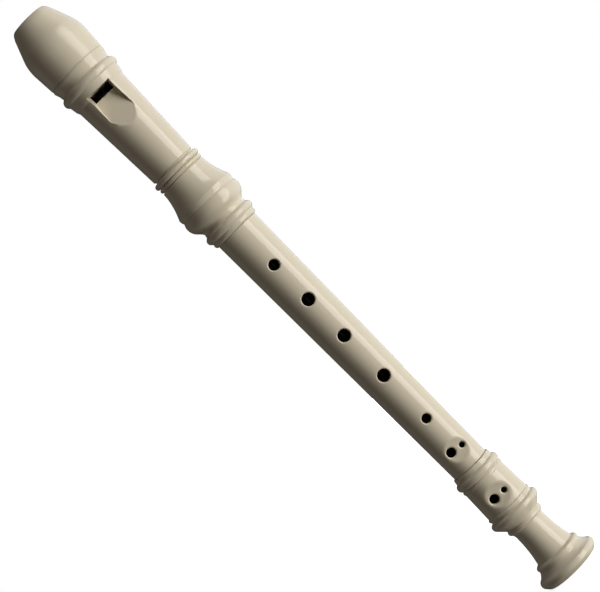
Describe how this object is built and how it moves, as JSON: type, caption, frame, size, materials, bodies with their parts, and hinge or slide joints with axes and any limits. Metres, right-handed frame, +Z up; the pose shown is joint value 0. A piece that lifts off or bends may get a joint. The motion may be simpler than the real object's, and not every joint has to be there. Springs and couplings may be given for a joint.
{
  "type": "soprano recorder",
  "caption": "Moulded soprano recorder in three joints: head with beak, block and window, tapered middle joint with finger holes, and a bell foot, joined by sliding, turning tenons.",
  "frame": {"origin": "centre of the bell's end face, which the recorder stands on", "axes": "+Z up the bore from the bell to the beak's tip, the finger holes and the window look along -Y, +X is to the right of someone who faces the holes"},
  "size_m": [0.0298, 0.0298, 0.3262],
  "materials": {
    "foot_plastic": "glossy ivory, moulded and polished",
    "middle_plastic": "glossy ivory, moulded and polished",
    "head_plastic": "glossy ivory, moulded and polished",
    "beak_plastic": "glossy ivory, moulded and polished",
    "block_plastic": "satin ivory, moulded",
    "seal_rubber": "matt black elastomer"
  },
  "bodies": {
    "foot": {"foot_tube": "foot_plastic"},
    "lower_seal": {"lower_tenon_seal": "seal_rubber"},
    "middle": {"middle_tube": "middle_plastic"},
    "upper_seal": {"upper_tenon_seal": "seal_rubber"},
    "head": {"head_tube": "head_plastic", "windway_block": "block_plastic", "beak_cap": "beak_plastic"}
  },
  "joints": [
    {"name": "foot_tenon_slide", "type": "slide", "parent": "foot", "child": "lower_seal", "axis": [0, 0, 1], "range_m": [0, 0.0137]},
    {"name": "foot_tenon_turn", "type": "hinge", "parent": "lower_seal", "child": "middle", "pos_m": [0, 0, 0.05475], "axis": [0, 0, 1], "continuous": true},
    {"name": "head_tenon_turn", "type": "hinge", "parent": "middle", "child": "upper_seal", "pos_m": [0, 0, 0.21705], "axis": [0, 0, 1], "continuous": true},
    {"name": "head_tenon_slide", "type": "slide", "parent": "upper_seal", "child": "head", "axis": [0, 0, 1], "range_m": [0, 0.0225]}
  ]
}
